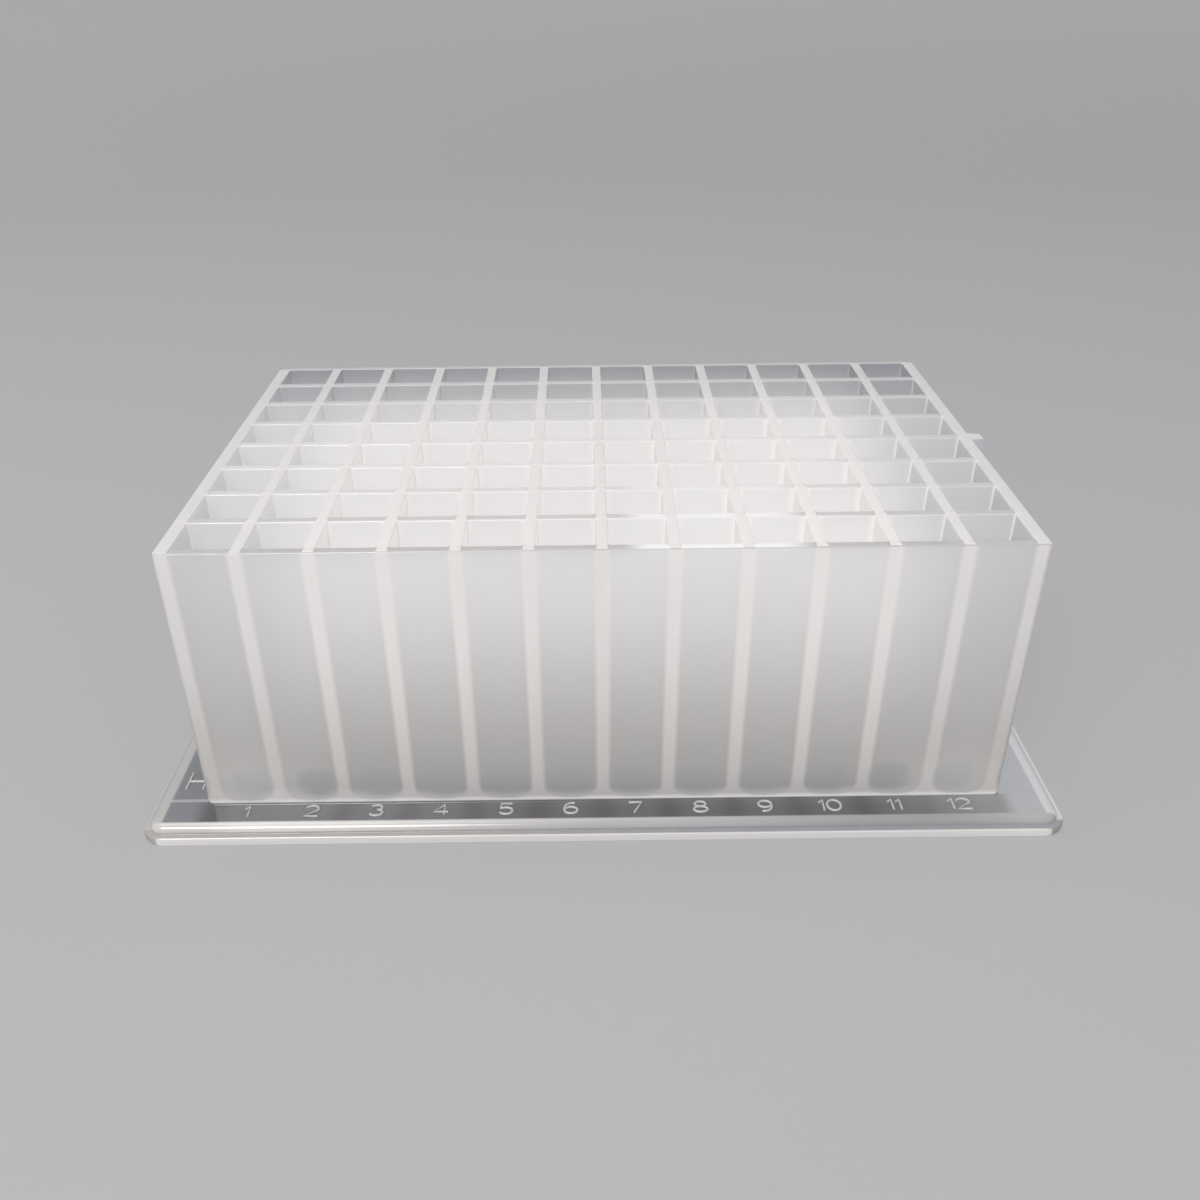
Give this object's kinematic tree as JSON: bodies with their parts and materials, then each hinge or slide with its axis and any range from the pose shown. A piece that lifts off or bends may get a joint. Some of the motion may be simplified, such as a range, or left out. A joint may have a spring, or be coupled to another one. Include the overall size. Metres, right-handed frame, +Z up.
{
  "type": "deep well plate",
  "caption": "Deep well plate moulded in one piece: a grid of tall square wells with rounded floors, on a low foot with a marked shelf and an outer lip.",
  "frame": {"origin": "middle of the footprint, on the plane the plate stands on", "axes": "+X along the row of column numbers, towards the higher numbers; +Y towards the back row, A; +Z up, out of the wells"},
  "size_m": [0.1276, 0.0852, 0.0413],
  "materials": {
    "polypropylene": "natural translucent polypropylene, smooth moulded"
  },
  "bodies": {
    "root": {"plate": "polypropylene"}
  },
  "joints": []
}
